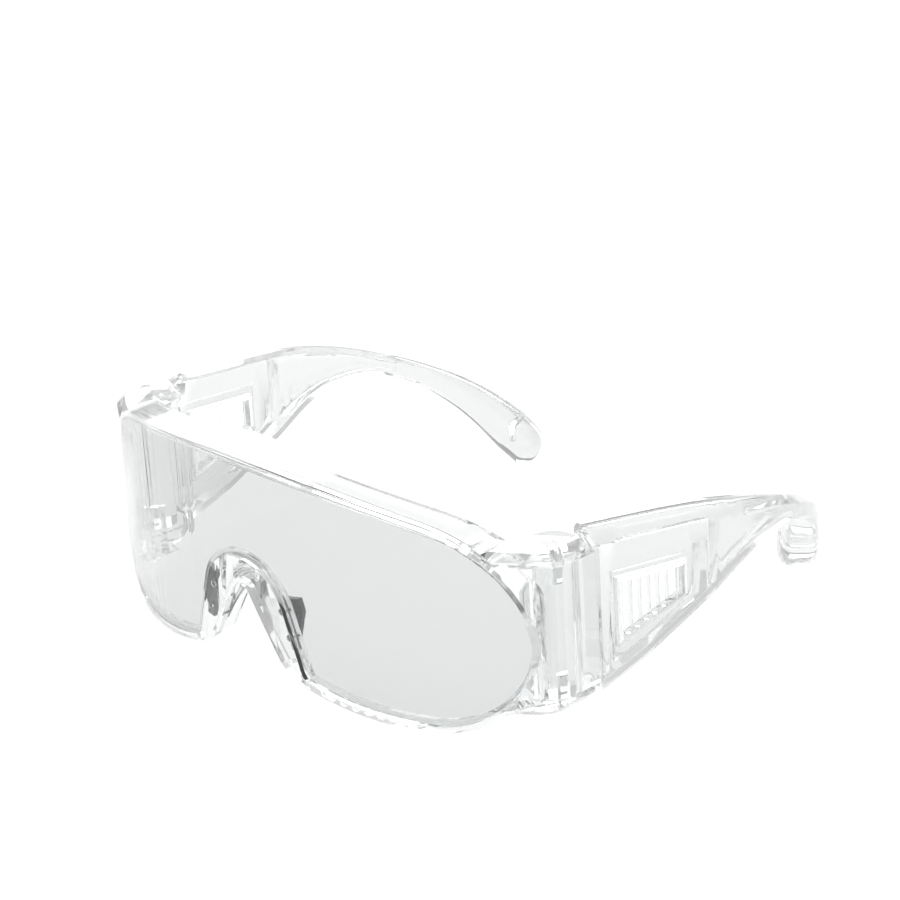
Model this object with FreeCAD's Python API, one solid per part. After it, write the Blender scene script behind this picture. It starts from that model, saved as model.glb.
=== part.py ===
import FreeCAD, Part
import math
import os
from FreeCAD import Placement, Rotation, Vector

# Over-the-glasses safety spectacles. Everything is drawn in the hinge frame: X to the wearer's left,
# Y from the front towards the ears, Z up, with the origin midway between the two hinge axes and
# about half way up them. stand_placement() then leans each piece onto the table.

# Front, seen from above
hinge_half = 74.5          # centre line to each hinge axis
front_radius = 125.0       # curve of the lens and the frame, from above
corner_radius = 10.0       # bend from the front into each side
cheek_length = 1.12        # straight side, from that bend to the hinge axis
barrel_radius = 5.0        # hinge barrel on each temple

# Front, seen from the front
lens_top = 35.1            # top of the lens at the centre line
lens_reach = 0.9           # end of the lens beyond the hinge axis, sideways
lens_end_z = -2.0          # height of the widest point of the lens
upper_end_radius = 31.0
lower_end_radius = 22.0
lobe_radius = 110.0        # gentle curve under each eye
lens_thickness = 2.0
lens_clearance = 0.1       # round the edge of the lens, in its pocket
lens_gap = 0.05            # between the lens and the ledge behind it
ledge_width = 1.5
ledge_thickness = 1.2
rim_width = 1.7            # frame below and above the lens
end_rim = 3.6              # frame of full thickness round the ends of the lens
lens_corner_radius = 3.0
lobe_corner_radius = 12.0

# Nose arch
arch_top = 2.0             # top of the opening
arch_radius = 3.2
arch_lean = 31.0           # degrees of each flank from upright
cut_top = 9.2              # top of the edge of the lens over the nose
cut_radius = 14.5
cut_lean = 17.4
flange_depth = 7.0         # nose flange, from the front face backwards
flange_thickness = 1.6
flange_bottom = -16.0

# Nose pads
pad_depth = 5.0
pad_thickness = 2.0
pad_top = 1.2
pad_height = 13.8
pad_flare = 72.0           # degrees that each pad opens towards the face
pad_slope = 1.0            # fall of the top of each pad towards the face
pad_chin = 0.33            # share of half the height where the rear edge turns under
pad_clearance = 0.1
pad_inset = 1.9            # edge of the lens to the middle of the pad
pad_foot_width = 2.4
pad_foot_depth = 1.2
peg_radius = 0.9
peg_length = 1.4
peg_clearance = 0.02

# Brow guard
brow_depth = 8.5
brow_thickness = 1.6
brow_low = 21.0            # the guard ends at this height on each side
tongue_half = 24.0         # the wider middle of the guard
tongue_depth = 5.0

# Hinges
ear_top = 23.1
ear_bottom = -19.8
ear_thickness = 3.8
ear_radius = 9.0
ear_reach = 13.0           # ear plates, from the hinge axis inwards
ear_root = 2.3             # the inner part of the ear plates ends this far ahead of the axis
ear_bevel = 2.2
hinge_gap = 0.3
pin_radius = 1.4
pin_engagement = 5.0       # length of a pin inside the barrel
pin_recess = 0.3           # outer end of a pin below the face of its ear
pin_bevel = 0.3
pin_fit = 0.02             # radial clearance of a pin in its ear
pivot_clearance = 0.05     # radial clearance of the barrel round a pin

# Temples, seen from above
panel_inset = 0.5          # step from the barrel's outside to the panel's outside
panel_start = 9.6          # hinge axis to the start of the panel
panel_length = 38.4        # straight part of the temple
toe_out = 3.7              # degrees
bow_radius = 90.0          # bend of the temple round the head
bow_turn = 51.3            # degrees
panel_thickness = 2.0
start_bevel = 1.0          # slope round the front end of the panel
wall_step = 0.3            # left open between the thickened wall and the lips, where the hook starts
panel_overlap = 1.0        # the wall beside the hinge runs this far into the panel
web_thickness = 2.4        # side wall beside the hinge, on the frame and on the temple
shoulder_in = 5.6          # slope along the top of the panel, inwards
shoulder_down = 3.7
lip_thickness = 1.8
top_lip = 1.5              # flat lip beyond the slope
bottom_lip = 5.6
tip_shoulder = 0.33        # share of the slope that is left at the tip
tip_lip = 0.8              # share of the lower lip that is left at the tip

# Vent in each side panel
vent_front = 4.4           # start of the panel to the vent
vent_length = 27.0
vent_top_front = 11.9
vent_top_rear = 8.4
vent_bottom_front = -11.7
vent_bottom_rear = -4.8
vent_border = 2.0          # face of the insert round the window in the panel
vent_proud = 0.9
vent_seat = 0.12           # gap behind the border
vent_clearance = 0.1       # between the insert and the window
vent_ring = 1.0            # wall of the insert inside the window
vent_depth = 2.4           # insert behind the outside of the panel
slat_count = 6
slat_thickness = 1.0
slat_width = 2.8
slat_angle = 35.0

# Side view of a temple: share of its length, and height there
upper_edge = ((0.31, 17.9), (0.48, 12.6), (0.61, 6.8), (0.72, 1.0), (0.84, -7.0), (0.94, -16.7), (1.0, -24.8))
lower_edge = ((0.13, -14.9), (0.31, -6.8), (0.43, -0.6), (0.53, 1.0), (0.61, 0.2), (0.72, -5.1),
              (0.84, -15.2), (0.94, -26.6), (1.0, -33.3))
panel_rise = 0.8           # start of the upper edge above the ear plates
panel_drop = 2.6           # start of the lower edge below the upper face of the lower ear plate

# Ear hook
hook_start = 0.66          # share of the length where the channel closes into a bar
tip_width = 11.0
hook_root_round = 0.3      # rounding along the bar's corners where it starts
hook_tip_round = 4.0       # the same rounding at the tip
shoulder_round = 0.28      # share of that rounding on the two corners of the shoulder
hook_flats = 4             # flats that make up each rounded corner
tip_slant = 0.7            # the end face leans back by this much of its height
tip_round = 1.8            # rounding of the very end, along the hook
tip_draw = 1.4             # and across it
end_rings = 3              # slices in that rounding
lanyard_radius = 1.1
lanyard_back = 6.5         # end of the hook to the lanyard hole, along the path

side_x = hinge_half + barrel_radius
lens_half = hinge_half + lens_reach
bend_reach = math.sqrt((front_radius - corner_radius) ** 2 - (side_x - corner_radius) ** 2)
front_depth = front_radius - bend_reach + cheek_length    # hinge axes to the foremost point
temple_length = panel_length + bow_radius * math.radians(bow_turn)
far = side_x               # beyond every edge of the front, from the hinge frame's origin
same = 0.01                # places nearer than this count as one


def solid_of(wire, direction):
    return Part.Face(wire).extrude(direction)


def mirrored(shape):
    return shape.mirror(Vector(0, 0, 0), Vector(1, 0, 0))


def disc(x, y, z, radius, height):
    return Part.makeCylinder(radius, height, Vector(x, y, z))


def block(x0, x1, y0, y1, z0, z1):
    return Part.makeBox(x1 - x0, y1 - y0, z1 - z0, Vector(x0, y0, z0))


def arc_about(centre, radius, start, end, point):
    """Arc about centre between two angles in degrees; point turns (a, b) into a Vector."""
    angles = (start, (start + end) / 2, end)
    ends = [point(centre[0] + radius * math.cos(math.radians(a)),
                  centre[1] + radius * math.sin(math.radians(a))) for a in angles]
    return Part.Arc(*ends).toShape()


def in_front(x, z):
    return Vector(x, -far, z)


def in_plan(x, y):
    return Vector(x, y, -far)


def oval(grow):
    """Outline of the lens without its nose cut, grown outwards, as a prism along Y."""
    upper = (lens_half - upper_end_radius, lens_end_z)
    lower = (lens_half - lower_end_radius, lens_end_z)
    rise = lens_top - upper[1]
    top_radius = (upper[0] ** 2 + rise ** 2 - upper_end_radius ** 2) / (2 * (rise - upper_end_radius))
    top = (0.0, lens_top - top_radius)
    lobe = (lower[0], lower[1] - lower_end_radius + lobe_radius)
    meet = math.degrees(math.atan2(upper[1] - top[1], upper[0]))
    stop = 180 + math.degrees(math.acos(lobe[0] / (lobe_radius + grow)))
    half = [
        arc_about(top, top_radius + grow, 90, meet, in_front),
        arc_about(upper, upper_end_radius + grow, meet, 0, in_front),
        arc_about(lower, lower_end_radius + grow, 0, -90, in_front),
        arc_about(lobe, lobe_radius + grow, 270, stop, in_front),
    ]
    wire = Part.Wire(Part.__sortEdges__(half + [mirrored(edge) for edge in half]))
    return solid_of(wire, Vector(0, 2 * far, 0))


def notch(top, radius, lean_angle, grow):
    """Nose cut: a round arch over two straight flanks, as a prism along Y."""
    centre = top - radius
    reach = radius + grow
    turn = math.radians(lean_angle)
    side = Vector(reach * math.cos(turn), 0, centre + reach * math.sin(turn))
    drop = far + side.z
    foot = side.x + drop * math.tan(turn)
    right = in_front(side.x, side.z)
    left = in_front(-side.x, side.z)
    edges = [
        Part.Arc(left, in_front(0, centre + reach), right).toShape(),
        Part.LineSegment(right, in_front(foot, -far)).toShape(),
        Part.LineSegment(in_front(foot, -far), in_front(-foot, -far)).toShape(),
        Part.LineSegment(in_front(-foot, -far), left).toShape(),
    ]
    return solid_of(Part.Wire(edges), Vector(0, 2 * far, 0))


def nose_opening(grow):
    return notch(arch_top, arch_radius, arch_lean, grow)


def lens_cut(grow):
    return notch(cut_top, cut_radius, cut_lean, grow)


def rounded_lobes(prism, radius):
    """Rounds the two lower corners beside the nose."""
    near_nose = []
    for edge in prism.Edges:
        along = edge.BoundBox.YLength > far and edge.BoundBox.XLength < same
        if along and abs(edge.CenterOfMass.x) < lens_half / 2:
            near_nose.append(edge)
    lowest = min(edge.CenterOfMass.z for edge in near_nose)
    corners = [edge for edge in near_nose if edge.CenterOfMass.z < lowest + same]
    return prism.makeFillet(radius, corners)


def pane(grow):
    """Outline of the lens with its nose cut, grown outwards, as a prism along Y."""
    return rounded_lobes(oval(grow).cut(lens_cut(-grow)), lens_corner_radius + grow)


def plan_edges(inset, end_y):
    """Right half of the front seen from above, inset from its outer face."""
    centre = front_radius - front_depth
    radius = front_radius - inset
    side = side_x - inset
    if inset >= corner_radius:
        meet = -math.degrees(math.acos(side / radius))
        start_y = centre + radius * math.sin(math.radians(meet))
        corner = []
    else:
        corner_x = side_x - corner_radius
        start_y = centre - math.sqrt((front_radius - corner_radius) ** 2 - corner_x ** 2)
        meet = math.degrees(math.atan2(start_y - centre, corner_x))
        corner = [arc_about((corner_x, start_y), corner_radius - inset, meet, 0, in_plan)]
    main = arc_about((0, centre), radius, -90, meet, in_plan)
    return [main] + corner + [Part.LineSegment(in_plan(side, start_y), in_plan(side, end_y)).toShape()]


def closed_plan(half):
    """Upright prism of the right half of a plan outline and its mirror image."""
    wire = Part.Wire(Part.__sortEdges__(half + [mirrored(edge) for edge in half]))
    return solid_of(wire, Vector(0, 0, 2 * far))


def inside_front(end_y):
    """Everything between the outer faces of the front and its two sides."""
    across = Part.LineSegment(in_plan(side_x, end_y), in_plan(0, end_y)).toShape()
    return closed_plan(plan_edges(0, end_y) + [across])


def front_band(outer, inner, end_y):
    """Wall between two insets of the front, full height, ending at end_y on each side."""
    close = Part.LineSegment(in_plan(side_x - outer, end_y), in_plan(side_x - inner, end_y)).toShape()
    return closed_plan(plan_edges(outer, end_y) + plan_edges(inner, end_y) + [close])


def ear_plan():
    """Plan of the ear plates: round over the hinge axis, square towards the nose, as a prism."""
    round_part = disc(hinge_half, 0, -far, ear_radius, 2 * far)
    root = block(hinge_half - ear_reach, side_x, -far, -ear_root, -far, far)
    return round_part.fuse(root).common(inside_front(ear_radius + 1))


def make_frame():
    wall = lens_thickness + lens_gap + ledge_thickness
    face = rounded_lobes(oval(rim_width).cut(nose_opening(0)), lobe_corner_radius)
    frame = front_band(0, wall, 0).common(face)

    brow = oval(rim_width).cut(oval(rim_width - brow_thickness))
    high = block(-far, far, -far, far, brow_low, far)
    frame = frame.fuse(front_band(0, brow_depth, 0).common(brow).common(high))
    frame = frame.fuse(make_tongue().common(brow).common(high))

    ring = nose_opening(flange_thickness).cut(nose_opening(0))
    above = block(-far, far, -far, far, flange_bottom, far)
    frame = frame.fuse(front_band(0, flange_depth, 0).common(ring).common(above))

    side = front_band(0, web_thickness, 0)
    cheek = block(hinge_half - ear_reach, side_x + 1, -far, far, ear_bottom, ear_top)
    plates = ear_plan().common(cheek)
    space = block(0, far + side_x, -far, far, ear_bottom + ear_thickness, ear_top - ear_thickness)
    rim = front_band(0, wall, 0).common(oval(end_rim)).common(cheek)
    ears = plates.cut(space).fuse(side.common(cheek)).fuse(rim).removeSplitter()
    ears = bevel_ears(ears)
    frame = frame.fuse(ears).fuse(mirrored(ears))
    swing = disc(hinge_half, 0, ear_bottom + ear_thickness, barrel_radius + hinge_gap,
                 ear_top - ear_bottom - 2 * ear_thickness)
    bore = disc(hinge_half, 0, -far, pin_radius + pin_fit, 2 * far)
    for tool in (swing, bore):
        frame = frame.cut(tool).cut(mirrored(tool))

    pocket = front_band(-1, lens_thickness + lens_gap, 0).common(pane(lens_clearance))
    frame = frame.cut(pocket).cut(pane(-ledge_width))
    for peg in pad_pegs(peg_clearance):
        frame = frame.cut(peg).cut(mirrored(peg))
    return frame.removeSplitter()


def bevel_ears(ears):
    """Slopes the outer top and bottom edges of the right-hand ears."""
    edges = []
    for edge in ears.Edges:
        box = edge.BoundBox
        level = box.ZLength < same and min(abs(box.ZMax - ear_top), abs(box.ZMin - ear_bottom)) < same
        if level and box.XMax > side_x - same:
            edges.append(edge)
    return ears.makeChamfer(ear_bevel, edges)


def make_tongue():
    """Wider middle of the brow guard, a shallow arc behind its rear edge."""
    centre = front_radius - front_depth
    rear = centre - math.sqrt((front_radius - brow_depth) ** 2 - tongue_half ** 2)
    middle = brow_depth + tongue_depth - front_depth
    ahead = brow_depth / 2 - front_depth
    edges = [
        Part.Arc(in_plan(tongue_half, rear), in_plan(0, middle), in_plan(-tongue_half, rear)).toShape(),
        Part.LineSegment(in_plan(-tongue_half, rear), in_plan(0, ahead)).toShape(),
        Part.LineSegment(in_plan(0, ahead), in_plan(tongue_half, rear)).toShape(),
    ]
    return solid_of(Part.Wire(edges), Vector(0, 0, 2 * far))


def make_lens():
    return front_band(0, lens_thickness, 0).common(pane(0))


def pad_base():
    """Where the right-hand pad meets the back of the frame beside the nose."""
    turn = math.radians(cut_lean)
    reach = cut_radius - pad_inset
    middle = pad_top - pad_height / 2
    x = reach * math.cos(turn) - (middle - (cut_top - cut_radius) - reach * math.sin(turn)) * math.tan(turn)
    outermost = x + pad_foot_width / 2 + pad_height / 2 * math.sin(turn)
    wall = lens_thickness + lens_gap + ledge_thickness
    back = front_radius - front_depth - math.sqrt((front_radius - wall) ** 2 - outermost ** 2)
    return Vector(x, back + pad_clearance, middle)


def pad_placement():
    return Placement(pad_base(), Rotation(Vector(0, 1, 0), -cut_lean))


def pad_pegs(clearance):
    """Two pegs that hold the right-hand pad in the frame."""
    pegs = []
    for step in (-1, 1):
        start = Vector(0, -peg_length - clearance, step * pad_height / 4)
        length = peg_length + clearance + pad_foot_depth / 2
        peg = Part.makeCylinder(peg_radius + clearance, length, start, Vector(0, 1, 0))
        peg.Placement = pad_placement().multiply(peg.Placement)
        pegs.append(peg)
    return pegs


def make_nose_pad():
    half = pad_height / 2
    foot = Part.makeBox(pad_foot_width, pad_foot_depth, pad_height, Vector(-pad_foot_width / 2, 0, -half))
    corners = [Vector(0, 0, half), Vector(0, pad_depth, half - pad_slope),
               Vector(0, pad_depth, half * pad_chin),
               Vector(0, pad_foot_depth / 2, -half)]
    fin = solid_of(Part.makePolygon(corners + [Vector(0, 0, -half), corners[0]]), Vector(pad_thickness, 0, 0))
    fin.translate(Vector(-pad_thickness / 2, 0, 0))
    fin.rotate(Vector(0, 0, 0), Vector(0, 0, 1), -pad_flare)
    fin = fin.common(block(-far, far, 0, far, -far, far))
    pad = foot.fuse(fin)
    pad.Placement = pad_placement().multiply(pad.Placement)
    for peg in pad_pegs(0):
        pad = pad.fuse(peg)
    return pad.removeSplitter()


def make_pin(upper):
    """Plain upper or lower pin of the right-hand hinge, bevelled at both ends."""
    length = ear_thickness + hinge_gap + pin_engagement - pin_recess
    pin = disc(hinge_half, 0, ear_top - pin_recess - length, pin_radius, length)
    rings = [edge for edge in pin.Edges if edge.Closed]
    pin = pin.makeChamfer(pin_bevel, rings)
    if upper:
        return pin
    return pin.mirror(Vector(0, 0, (ear_top + ear_bottom) / 2), Vector(0, 0, 1))


def panel_frame():
    """Placement of the side panel: X out of its outer face, Y along it, Z up."""
    return Placement(Vector(side_x - panel_inset, panel_start, 0), Rotation(Vector(0, 0, 1), -toe_out))


def path_station(along):
    """Point on the temple's outer face, and the direction inwards, at a distance along the temple."""
    toe = math.radians(toe_out)
    bent = max(0.0, along - panel_length) / bow_radius
    straight = min(along, panel_length)
    heading = bent - toe
    x = side_x - panel_inset + straight * math.sin(toe) + bow_radius * (math.cos(heading) - math.cos(toe))
    y = panel_start + straight * math.cos(toe) + bow_radius * (math.sin(heading) + math.sin(toe))
    return Vector(x, y, 0), Vector(-math.cos(heading), -math.sin(heading), 0)


def section(along, points, slant=0.0):
    """Closed outline across the temple; its points are depths inwards and heights."""
    start, inwards = path_station(along)
    onwards = Vector(inwards.y, -inwards.x, 0)
    middle = (max(z for a, z in points) + min(z for a, z in points)) / 2
    ring = [start + inwards * a + onwards * ((z - middle) * slant) + Vector(0, 0, z) for a, z in points]
    return Part.makePolygon(ring + ring[:1])


def taper(along, root, tip):
    """Runs smoothly from root to tip between the panel's start and the end of the hook."""
    t = along / temple_length
    return root + (tip - root) * t * t * (3 - 2 * t)


def slope_at(along):
    """Width and fall of the sloping shoulder."""
    return taper(along, shoulder_in, shoulder_in * tip_shoulder), \
        taper(along, shoulder_down, shoulder_down * tip_shoulder)


def wall_at(along, full):
    """The outer wall thickens round the bend, until it fills the channel where the hook starts."""
    share = max(0.0, along - panel_length) / (hook_start * temple_length - panel_length)
    return panel_thickness + (full - panel_thickness) * share * share


def channel_section(along, top, bottom):
    """Outer wall with a sloping shoulder and a lip above, and a lip below."""
    across, fall = slope_at(along)
    lower_lip = taper(along, bottom_lip, bottom_lip * tip_lip)
    under = fall + lip_thickness / 2
    t = wall_at(along, min(across + top_lip, lower_lip) - wall_step)
    return section(along, (
        (0, bottom), (0, top - fall), (across, top), (across + top_lip, top),
        (across + top_lip, top - lip_thickness), (max(across, t), top - lip_thickness),
        (t, top - under), (t, bottom + lip_thickness),
        (lower_lip, bottom + lip_thickness), (lower_lip, bottom)))


def hook_share(along):
    """How far along the hook, from 0 where the channel ends to 1 at the tip."""
    return (along / temple_length - hook_start) / (1 - hook_start)


def hook_width(along):
    """The bar starts as wide as the channel's upper side and widens to the tip."""
    start = hook_start * temple_length
    root = slope_at(start)[0] + top_lip
    lip = taper(start, bottom_lip, bottom_lip * tip_lip)
    return max(root, lip) + (tip_width - max(root, lip)) * hook_share(along)


def eased(points, reaches):
    """Outline with rounded corners; each reach is how far the rounding runs along both sides."""
    ring = []
    for i, (a, z) in enumerate(points):
        corner = Vector(a, z, 0)
        before = Vector(*points[i - 1], 0) - corner
        after = Vector(*points[(i + 1) % len(points)], 0) - corner
        start = corner + before.normalize() * reaches[i]
        end = corner + after.normalize() * reaches[i]
        for j in range(hook_flats + 1):
            t = j / hook_flats
            point = start * (1 - t) ** 2 + corner * (2 * t * (1 - t)) + end * t ** 2
            ring.append((point.x, point.y))
    return ring


def bar_section(along, inset):
    """Solid bar with the channel's shoulder on its outer side; its corners round off towards the tip."""
    share = along / temple_length
    top = top_at(share) - inset
    bottom = bottom_at(share) + inset
    across, fall = slope_at(along)
    inner = hook_width(along) - inset
    reach = hook_root_round + (hook_tip_round - hook_root_round) * hook_share(along) - inset
    corners = ((inset, bottom), (inset, top - fall), (across + inset, top), (inner, top), (inner, bottom))
    slight = reach * shoulder_round
    ring = eased(corners, (reach, slight, slight, reach, reach))
    return section(along, ring, tip_slant * hook_share(along))


def smooth(knots, share):
    """Smooth curve through the knots, each a share of the temple's length and a height."""
    last = len(knots) - 1
    slopes = []
    for i in range(last + 1):
        before = knots[max(i - 1, 0)]
        after = knots[min(i + 1, last)]
        slopes.append((after[1] - before[1]) / (after[0] - before[0]))
    i = 0
    while i < last - 1 and share > knots[i + 1][0]:
        i += 1
    width = knots[i + 1][0] - knots[i][0]
    t = (share - knots[i][0]) / width
    rise = knots[i + 1][1] - knots[i][1]
    start = slopes[i] * width
    end = slopes[i + 1] * width
    return knots[i][1] + start * t + (3 * rise - 2 * start - end) * t ** 2 + (start + end - 2 * rise) * t ** 3


def top_at(share):
    return smooth(((0.0, ear_top + panel_rise),) + upper_edge, share)


def bottom_at(share):
    return smooth(((0.0, ear_bottom + ear_thickness - panel_drop),) + lower_edge, share)


def channel_ring(along):
    share = along / temple_length
    return channel_section(along, top_at(share), bottom_at(share))


def spaced(start, end, count):
    return [start + (end - start) * i / count for i in range(count + 1)]


def end_places():
    """Places along the temple of the rings of its rounded end, and how far each is drawn in."""
    turns = [math.radians(angle) for angle in spaced(0, 90, end_rings)]
    return [(temple_length - tip_round * (1 - math.sin(turn)), tip_draw * (1 - math.cos(turn)))
            for turn in turns]


def make_temple():
    hook_begins = hook_start * temple_length
    places = spaced(start_bevel, panel_length, 5) + spaced(panel_length, hook_begins, 5)[1:]
    temple = Part.makeLoft([channel_ring(along) for along in places], True)
    narrow = channel_section(0, top_at(0) - start_bevel, bottom_at(0) + start_bevel)
    temple = temple.fuse(Part.makeLoft([narrow, channel_ring(start_bevel)], True, True))
    bar_ends = temple_length - tip_round
    bar = Part.makeLoft([bar_section(along, 0) for along in spaced(hook_begins, bar_ends, 7)], True)
    rings = [bar_section(along, inset) for along, inset in end_places()]
    temple = temple.fuse(bar).fuse(Part.makeLoft(rings, True, True))

    low = ear_bottom + ear_thickness + hinge_gap
    high = ear_top - ear_thickness - hinge_gap
    temple = temple.fuse(disc(hinge_half, 0, low, barrel_radius, high - low))
    temple = temple.fuse(block(side_x - web_thickness, side_x, 0, panel_start + panel_overlap, low, high))
    bore_depth = pin_engagement + hinge_gap
    for z in (low, high - bore_depth):
        temple = temple.cut(disc(hinge_half, 0, z, pin_radius + pivot_clearance, bore_depth))
    temple = temple.cut(vent_prism(-vent_border, -far, far).common(near_side()))
    return temple.cut(lanyard_hole())


def near_side():
    """Room round the side panel, clear of the hook."""
    return block(hinge_half - barrel_radius, far + side_x, -far, panel_start + panel_length, -far, far)


def lanyard_place():
    """Middle of the lanyard hole on the outer face, the way through, and the hook's width there."""
    along = temple_length - lanyard_back
    share = along / temple_length
    start, inwards = path_station(along)
    return start + Vector(0, 0, (top_at(share) + bottom_at(share)) / 2), inwards, hook_width(along)


def lanyard_hole():
    middle, inwards, width = lanyard_place()
    return Part.makeCylinder(lanyard_radius, 3 * width, middle - inwards * width, inwards)


def vent_prism(grow, inner, outer):
    """Outline of the vent, grown outwards, between two depths out of the panel's outer face."""
    front = vent_front
    rear = vent_front + vent_length
    corners = [Vector(inner, front, vent_bottom_front), Vector(inner, rear, vent_bottom_rear),
               Vector(inner, rear, vent_top_rear), Vector(inner, front, vent_top_front)]
    wire = Part.makePolygon(corners + corners[:1])
    if grow:
        wire = wire.makeOffset2D(grow, 2)
    prism = solid_of(wire, Vector(outer - inner, 0, 0))
    prism.Placement = panel_frame().multiply(prism.Placement)
    return prism


def make_louvre():
    inside = -vent_border - vent_clearance
    louvre = vent_prism(0, vent_seat, vent_proud).fuse(vent_prism(inside, -vent_depth, vent_proud))
    louvre = louvre.cut(vent_prism(inside - vent_ring, -far, far).common(near_side()))
    room = vent_prism(inside - vent_ring / 2, -vent_depth, vent_proud / 2)
    pitch = (vent_length - 2 * (vent_border + vent_clearance + vent_ring)) / (slat_count + 1)
    for i in range(slat_count):
        slat = block(-slat_width / 2, slat_width / 2, -slat_thickness / 2, slat_thickness / 2, -far, far)
        slat.rotate(Vector(0, 0, 0), Vector(0, 0, 1), slat_angle)
        along = vent_front + vent_border + vent_clearance + vent_ring + pitch * (i + 1)
        slat.translate(Vector((vent_proud / 2 - vent_depth) / 2, along, 0))
        slat.Placement = panel_frame().multiply(slat.Placement)
        louvre = louvre.fuse(slat.common(room))
    return louvre.removeSplitter()


def stand_placement(shapes):
    """Leans the spectacles onto the rims below the lens and the tips, over the origin."""
    lobe_x = lens_half - lower_end_radius
    lobe = (front_radius - front_depth - math.sqrt(front_radius ** 2 - lobe_x ** 2),
            lens_end_z - lower_end_radius - rim_width)
    leans = []
    for along, inset in end_places():
        start, inwards = path_station(along)
        top = top_at(along / temple_length) - inset
        bottom = bottom_at(along / temple_length) + inset
        back = -inwards.x * (top - bottom) / 2 * tip_slant * hook_share(along)
        leans.append(math.degrees(math.atan2(lobe[1] - bottom, start.y - back - lobe[0])))
    lean = max(leans)
    turn = Placement(Vector(0, 0, 0), Rotation(Vector(1, 0, 0), lean))
    leaning = Part.makeCompound([placed(shape, turn) for shape in shapes])
    box = leaning.optimalBoundingBox(False)
    shift = Vector(0, -box.Center.y, -box.ZMin)
    return Placement(shift, Rotation(Vector(1, 0, 0), lean)), box


def placed(shape, placement):
    moved = shape.copy()
    moved.Placement = placement.multiply(moved.Placement)
    return moved


def main():
    frame = make_frame()
    lens = make_lens()
    pad = make_nose_pad()
    temple = make_temple()
    louvre = make_louvre()
    upper_pin = make_pin(True)
    lower_pin = make_pin(False)
    nodes = {"front_frame": frame, "lens": lens}
    pairs = {"nose_pad": pad, "temple": temple, "vent_louvre": louvre,
             "hinge_pin_upper": upper_pin, "hinge_pin_lower": lower_pin}
    for name, shape in pairs.items():
        nodes[name + "_left"] = shape
        nodes[name + "_right"] = mirrored(shape)

    stand, box = stand_placement(list(nodes.values()))
    os.makedirs("parts", exist_ok=True)
    for name, shape in nodes.items():
        solid = placed(shape, stand)
        if not solid.isValid() or len(solid.Solids) != 1:
            raise RuntimeError(name + " is not one valid solid")
        solid.exportStep("parts/" + name + ".step")
    axis = stand.Rotation.multVec(Vector(0, 0, 1))
    hinge = stand.multVec(Vector(hinge_half, 0, 0))
    hole, inwards, width = lanyard_place()
    print("size", round(box.XLength, 2), round(box.YLength, 2), round(box.ZLength, 2))
    print("left hinge", [round(v, 3) for v in hinge], "axis", [round(v, 5) for v in axis])
    print("left lanyard hole", [round(v, 3) for v in stand.multVec(hole + inwards * (width / 2))],
          "axis", [round(v, 5) for v in stand.Rotation.multVec(inwards)], "length", round(width, 3))


main()
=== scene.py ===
import bpy, bmesh, math
from mathutils import Euler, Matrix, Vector


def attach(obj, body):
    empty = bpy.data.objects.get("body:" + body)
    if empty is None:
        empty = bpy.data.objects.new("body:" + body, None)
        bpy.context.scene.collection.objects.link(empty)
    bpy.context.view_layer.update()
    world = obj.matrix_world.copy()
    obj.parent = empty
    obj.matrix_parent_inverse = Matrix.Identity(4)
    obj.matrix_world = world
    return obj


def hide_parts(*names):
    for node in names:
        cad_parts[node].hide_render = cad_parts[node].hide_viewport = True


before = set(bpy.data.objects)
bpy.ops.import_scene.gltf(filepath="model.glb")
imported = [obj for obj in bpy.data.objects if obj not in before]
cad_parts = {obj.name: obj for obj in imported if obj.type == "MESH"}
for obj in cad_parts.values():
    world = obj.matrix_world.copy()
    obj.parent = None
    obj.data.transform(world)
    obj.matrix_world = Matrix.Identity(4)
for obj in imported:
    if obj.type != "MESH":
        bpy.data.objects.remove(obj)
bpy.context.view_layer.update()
mm = 0.001
print("frame loaded:", len(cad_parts), "nodes")


# finish groups

def newGroup(name, inputs, outputs):
    group = bpy.data.node_groups.new(name, "ShaderNodeTree")
    for label, kind, value in inputs:
        socket = group.interface.new_socket(label, in_out="INPUT", socket_type=kind)
        socket.default_value = value
    for label, kind in outputs:
        group.interface.new_socket(label, in_out="OUTPUT", socket_type=kind)
    return group, group.nodes.new("NodeGroupInput"), group.nodes.new("NodeGroupOutput")


def noiseOf(nodes, detail, scale=None):
    noise = nodes.new("ShaderNodeTexNoise")
    noise.inputs["Detail"].default_value = detail
    if scale is not None:
        noise.inputs["Scale"].default_value = scale
    return noise


def rampOf(nodes, band):
    ramp = nodes.new("ShaderNodeValToRGB")
    for element, position in zip(ramp.color_ramp.elements, band):
        element.position = position
    return ramp


def mathOf(nodes, operation):
    node = nodes.new("ShaderNodeMath")
    node.operation = operation
    return node


handlingLook = {
    "rubScale": 45, "rubDetail": 4, "rubBand": (0.52, 0.78),
    "scratchStretch": (60, 900, 1400), "scratchTurn": (0.3, 0.2, 0.5),
    "scratchDetail": 2, "scratchBand": (0.66, 0.74), "scratchDepth": -0.06,
    "rippleDetail": 1,
}


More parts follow.
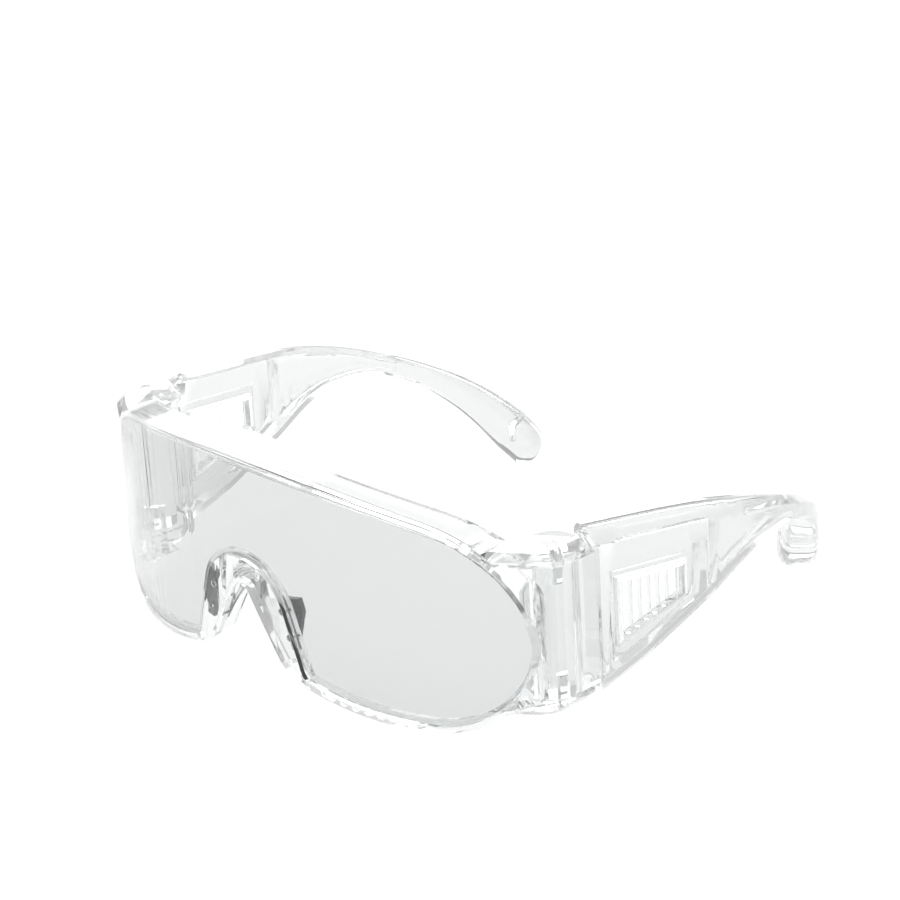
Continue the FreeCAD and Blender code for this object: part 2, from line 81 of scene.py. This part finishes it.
def buildHandling():
    # fine rubs, thin scratches and slow ripples, on the object's own coordinates
    look = handlingLook
    group, given, result = newGroup("handling", [
        ("Coordinates", "NodeSocketVector", (0, 0, 0)),
        ("Base Roughness", "NodeSocketFloat", 0.03),
        ("Rub Amount", "NodeSocketFloat", 0.05),
        ("Scratch Amount", "NodeSocketFloat", 0.1),
        ("Ripple Scale", "NodeSocketFloat", 60.0),
    ], [("Roughness", "NodeSocketFloat"), ("Height", "NodeSocketFloat"), ("Mask", "NodeSocketFloat")])
    nodes, links = group.nodes, group.links
    rub = noiseOf(nodes, look["rubDetail"], look["rubScale"])
    rubRamp = rampOf(nodes, look["rubBand"])
    stretch = nodes.new("ShaderNodeMapping")
    stretch.inputs["Scale"].default_value = look["scratchStretch"]
    stretch.inputs["Rotation"].default_value = look["scratchTurn"]
    scratch = noiseOf(nodes, look["scratchDetail"], 1)
    scratchRamp = rampOf(nodes, look["scratchBand"])
    ripple = noiseOf(nodes, look["rippleDetail"])
    rubPart = mathOf(nodes, "MULTIPLY")
    scratchPart = mathOf(nodes, "MULTIPLY")
    both = mathOf(nodes, "ADD")
    total = mathOf(nodes, "ADD")
    height = mathOf(nodes, "MULTIPLY_ADD")
    height.inputs[1].default_value = look["scratchDepth"]
    for source, target in (
            (given.outputs["Coordinates"], rub.inputs["Vector"]),
            (given.outputs["Coordinates"], stretch.inputs["Vector"]),
            (given.outputs["Coordinates"], ripple.inputs["Vector"]),
            (given.outputs["Ripple Scale"], ripple.inputs["Scale"]),
            (stretch.outputs["Vector"], scratch.inputs["Vector"]),
            (rub.outputs["Fac"], rubRamp.inputs["Fac"]),
            (scratch.outputs["Fac"], scratchRamp.inputs["Fac"]),
            (rubRamp.outputs["Color"], rubPart.inputs[0]),
            (given.outputs["Rub Amount"], rubPart.inputs[1]),
            (scratchRamp.outputs["Color"], scratchPart.inputs[0]),
            (given.outputs["Scratch Amount"], scratchPart.inputs[1]),
            (rubPart.outputs[0], both.inputs[0]),
            (scratchPart.outputs[0], both.inputs[1]),
            (both.outputs[0], total.inputs[0]),
            (given.outputs["Base Roughness"], total.inputs[1]),
            (scratchRamp.outputs["Color"], height.inputs[0]),
            (ripple.outputs["Fac"], height.inputs[2]),
            (total.outputs[0], result.inputs["Roughness"]),
            (height.outputs[0], result.inputs["Height"]),
            (both.outputs[0], result.inputs["Mask"])):
        links.new(source, target)
    return group


def buildTint():
    # slight change of tone through the plastic, as moulded parts have near their gates and ends
    group, given, result = newGroup("mouldedTint", [
        ("Coordinates", "NodeSocketVector", (0, 0, 0)),
        ("Colour", "NodeSocketColor", (1, 1, 1, 1)),
        ("Deep Colour", "NodeSocketColor", (0.9, 0.9, 0.9, 1)),
        ("Scale", "NodeSocketFloat", 14.0),
    ], [("Colour", "NodeSocketColor")])
    nodes, links = group.nodes, group.links
    cloud = noiseOf(nodes, 1)
    blend = nodes.new("ShaderNodeMix")
    blend.data_type = "RGBA"
    firstColour, secondColour = blend.inputs[6], blend.inputs[7]  # A and B of the colour mix
    mixedColour = blend.outputs[2]
    links.new(given.outputs["Coordinates"], cloud.inputs["Vector"])
    links.new(given.outputs["Scale"], cloud.inputs["Scale"])
    links.new(cloud.outputs["Fac"], blend.inputs["Factor"])
    links.new(given.outputs["Colour"], firstColour)
    links.new(given.outputs["Deep Colour"], secondColour)
    links.new(mixedColour, result.inputs["Colour"])
    return group


handling = buildHandling()
mouldedTint = buildTint()


def mouldedPlastic(name, look):
    # tint, rubs, scratches and ripples on one Principled shader, which is returned for its own constants
    material = bpy.data.materials.new(name)
    material.use_nodes = True
    nodes, links = material.node_tree.nodes, material.node_tree.links
    shader = nodes["Principled BSDF"]
    place = nodes.new("ShaderNodeTexCoord")
    tint = nodes.new("ShaderNodeGroup")
    tint.node_tree = mouldedTint
    tint.inputs["Colour"].default_value = (*look["tone"], 1)
    tint.inputs["Deep Colour"].default_value = (*look["deepTone"], 1)
    tint.inputs["Scale"].default_value = look["tintScale"]
    used = nodes.new("ShaderNodeGroup")
    used.node_tree = handling
    used.inputs["Base Roughness"].default_value = look["roughness"]
    used.inputs["Rub Amount"].default_value = look["rubs"]
    used.inputs["Scratch Amount"].default_value = look["scratches"]
    used.inputs["Ripple Scale"].default_value = look["rippleScale"]
    bump = nodes.new("ShaderNodeBump")
    bump.inputs["Strength"].default_value = look["ripple"]
    bump.inputs["Distance"].default_value = look["rippleDepth"]
    links.new(place.outputs["Object"], tint.inputs["Coordinates"])
    links.new(place.outputs["Object"], used.inputs["Coordinates"])
    links.new(tint.outputs["Colour"], shader.inputs["Base Color"])
    links.new(used.outputs["Roughness"], shader.inputs["Roughness"])
    links.new(used.outputs["Height"], bump.inputs["Height"])
    links.new(bump.outputs["Normal"], shader.inputs["Normal"])
    return material, shader


clearPlastic = {"bend": 1.585, "clear": 1.0, "tintScale": 14.0, "rippleDepth": 0.2 * mm}
clearLooks = {
    "frameClear": {"tone": (0.95, 0.96, 0.96), "deepTone": (0.91, 0.92, 0.92),
                   "roughness": 0.06, "rubs": 0.03, "scratches": 0.04, "ripple": 0.10, "rippleScale": 70},
    "lensClear": {"tone": (0.72, 0.73, 0.73), "deepTone": (0.70, 0.71, 0.71),
                  "roughness": 0.0, "rubs": 0.012, "scratches": 0.02, "ripple": 0.02, "rippleScale": 25},
    "templeClear": {"tone": (0.81, 0.82, 0.82), "deepTone": (0.77, 0.78, 0.78),
                    "roughness": 0.09, "rubs": 0.04, "scratches": 0.06, "ripple": 0.12, "rippleScale": 60},
    "ventClear": {"tone": (0.96, 0.97, 0.965), "deepTone": (0.92, 0.93, 0.925),
                  "roughness": 0.10, "rubs": 0.08, "scratches": 0.05, "ripple": 0.15, "rippleScale": 120},
    "pinClear": {"tone": (0.93, 0.94, 0.935), "deepTone": (0.88, 0.89, 0.885),
                 "roughness": 0.03, "rubs": 0.05, "scratches": 0.08, "ripple": 0.2, "rippleScale": 300},
}
clearMaterials = {}
for name, look in clearLooks.items():
    clearMaterials[name], shader = mouldedPlastic(name, {**clearPlastic, **look})
    shader.inputs["Transmission Weight"].default_value = clearPlastic["clear"]
    shader.inputs["Metallic"].default_value = 0.0
    shader.inputs["IOR"].default_value = clearPlastic["bend"]

# near-black pad colour: partly the pads' own smoke tint, partly painted shade that stands in for shade and
# refraction seen through the lens at the nose
smokeAndShadeLook = {"tone": (0.085, 0.088, 0.093), "deepTone": (0.045, 0.048, 0.052), "tintScale": 400,
             "roughness": 0.42, "rubs": 0.2, "scratches": 0.05, "ripple": 0.3, "rippleScale": 1500,
             "rippleDepth": 0.1 * mm, "gloss": 0.4}
padSmokeAndShade, shader = mouldedPlastic("padSmokeAndShade", smokeAndShadeLook)
shader.inputs["Specular IOR Level"].default_value = smokeAndShadeLook["gloss"]
print("materials made")


# mouldings: clean, smooth-shaded copies of the clear parts, so that light bends evenly through them

cleaning = {"merge": 0.01, "flat": 0.6, "sharp": 28}  # mm, degrees, degrees
mouldings = {
    "front_frame": {"body": "front", "slot": "frame_clear", "material": "frameClear"},
    "lens": {"body": "front", "slot": "lens_clear", "material": "lensClear"},
    "temple_left": {"body": "left_temple", "slot": "temple_clear", "material": "templeClear"},
    "temple_right": {"body": "right_temple", "slot": "temple_clear", "material": "templeClear"},
    "vent_louvre_left": {"body": "left_temple", "slot": "vent_clear", "material": "ventClear"},
    "vent_louvre_right": {"body": "right_temple", "slot": "vent_clear", "material": "ventClear"},
}


def cleanCopy(node, suffix):
    mesh = bpy.data.meshes.new(node + suffix)
    shape = bmesh.new()
    shape.from_mesh(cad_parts[node].data)
    bmesh.ops.remove_doubles(shape, verts=shape.verts, dist=cleaning["merge"] * mm)
    bmesh.ops.dissolve_limit(shape, angle_limit=math.radians(cleaning["flat"]),
                             verts=shape.verts, edges=shape.edges)
    shape.to_mesh(mesh)
    shape.free()
    piece = bpy.data.objects.new(node + suffix, mesh)
    bpy.context.scene.collection.objects.link(piece)
    for polygon in mesh.polygons:
        polygon.use_smooth = True
    return piece


for node, facts in mouldings.items():
    piece = cleanCopy(node, "Moulding")
    piece.data.set_sharp_from_angle(angle=math.radians(cleaning["sharp"]))
    piece.data.materials.clear()
    piece.data.materials.append(clearMaterials[facts["material"]])
    piece.visible_shadow = False
    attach(piece, facts["body"])
    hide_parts(node)
    print("moulding", node, len(piece.data.polygons))


# nose pads: soft rubber, rounded all over

padLook = {"grain": 0.16, "rounding": 12}  # mm, passes
for side in ("left", "right"):
    node = "nose_pad_" + side
    pad = cleanCopy(node, "Rubber")
    # the dark pad colour is partly painted shade from the dark patches at the nose
    pad.data.materials.append(padSmokeAndShade)
    pad.visible_shadow = False
    skin = pad.modifiers.new("skin", "REMESH")
    skin.mode = "VOXEL"
    skin.voxel_size = padLook["grain"] * mm
    skin.use_smooth_shade = True
    easing = pad.modifiers.new("easing", "SMOOTH")
    easing.factor = 0.5
    easing.iterations = padLook["rounding"]
    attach(pad, "front")
    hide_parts(node)
print("nose pads made")


# hinge pins: the parts themselves, in a clearer, more worn plastic

for level in ("upper", "lower"):
    for side in ("left", "right"):
        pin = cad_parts["hinge_pin_" + level + "_" + side]
        pin.data.materials.clear()
        pin.data.materials.append(clearMaterials["pinClear"])
        pin.visible_shadow = False
print("hinge pins dressed")


# stage, light and camera

stage = {"floorTone": (0.93, 0.93, 0.93), "floorRoughness": 0.9, "floorHalf": 6.0}
floorMesh = bpy.data.meshes.new("floor")
floorShape = bmesh.new()
bmesh.ops.create_grid(floorShape, x_segments=1, y_segments=1, size=stage["floorHalf"])
floorShape.to_mesh(floorMesh)
floorShape.free()
floor = bpy.data.objects.new("floor", floorMesh)
bpy.context.scene.collection.objects.link(floor)
floorMaterial = bpy.data.materials.new("paleFloor")
floorMaterial.use_nodes = True
floorShader = floorMaterial.node_tree.nodes["Principled BSDF"]
floorShader.inputs["Base Color"].default_value = (*stage["floorTone"], 1)
floorShader.inputs["Roughness"].default_value = stage["floorRoughness"]
floorMesh.materials.append(floorMaterial)

studio = {"wallTone": 0.45, "wallTop": 0.30, "ceilingTone": 0.75, "ceilingFrom": 0.52, "strength": 1.0}
world = bpy.data.worlds.new("studio")
bpy.context.scene.world = world
world.use_nodes = True
worldNodes, worldLinks = world.node_tree.nodes, world.node_tree.links
skyPlace = worldNodes.new("ShaderNodeTexCoord")
skySplit = worldNodes.new("ShaderNodeSeparateXYZ")
skyRamp = rampOf(worldNodes, (studio["wallTop"], studio["ceilingFrom"]))
for element, tone in zip(skyRamp.color_ramp.elements, (studio["wallTone"], studio["ceilingTone"])):
    element.color = (tone, tone, tone, 1)
worldLinks.new(skyPlace.outputs["Generated"], skySplit.inputs["Vector"])
worldLinks.new(skySplit.outputs["Z"], skyRamp.inputs["Fac"])
worldLinks.new(skyRamp.outputs["Color"], worldNodes["Background"].inputs["Color"])
worldNodes["Background"].inputs["Strength"].default_value = studio["strength"]

lightTarget = (0, 0, 0.03)
lights = {
    "overhead": {"place": (0.1, -0.1, 1.2), "width": (1.6, 1.2), "power": 6.5},
    "backdropLight": {"place": (-0.80, 0.77, 0.52), "width": (1.2, 0.7), "power": 7.5},
}
for name, facts in lights.items():
    light = bpy.data.lights.new(name, "AREA")
    light.shape = "RECTANGLE"
    light.size, light.size_y = facts["width"]
    light.energy = facts["power"]
    lamp = bpy.data.objects.new(name, light)
    lamp.location = facts["place"]
    aim = Vector(lightTarget) - Vector(facts["place"])
    lamp.rotation_euler = aim.to_track_quat("-Z", "Y").to_euler()
    bpy.context.scene.collection.objects.link(lamp)

camera = {"place": (0.6526, -0.6307, 0.4091), "turn": (67.870, 1.012, 45.799), "lens": 152.24, "sensor": 36}
cameraData = bpy.data.cameras.new("camera")
cameraData.lens = camera["lens"]
cameraData.sensor_width = camera["sensor"]
cameraObject = bpy.data.objects.new("camera", cameraData)
cameraObject.location = camera["place"]
cameraObject.rotation_euler = Euler([math.radians(turn) for turn in camera["turn"]])
bpy.context.scene.collection.objects.link(cameraObject)
bpy.context.scene.camera = cameraObject
bpy.context.scene.view_settings.view_transform = "Standard"

lightPasses = 24  # light turns many times inside clear plastic, and goes black if it stops early
cycles = bpy.context.scene.cycles
cycles.max_bounces = lightPasses
cycles.glossy_bounces = lightPasses
cycles.transmission_bounces = lightPasses
cycles.transparent_max_bounces = lightPasses
print("stage ready")
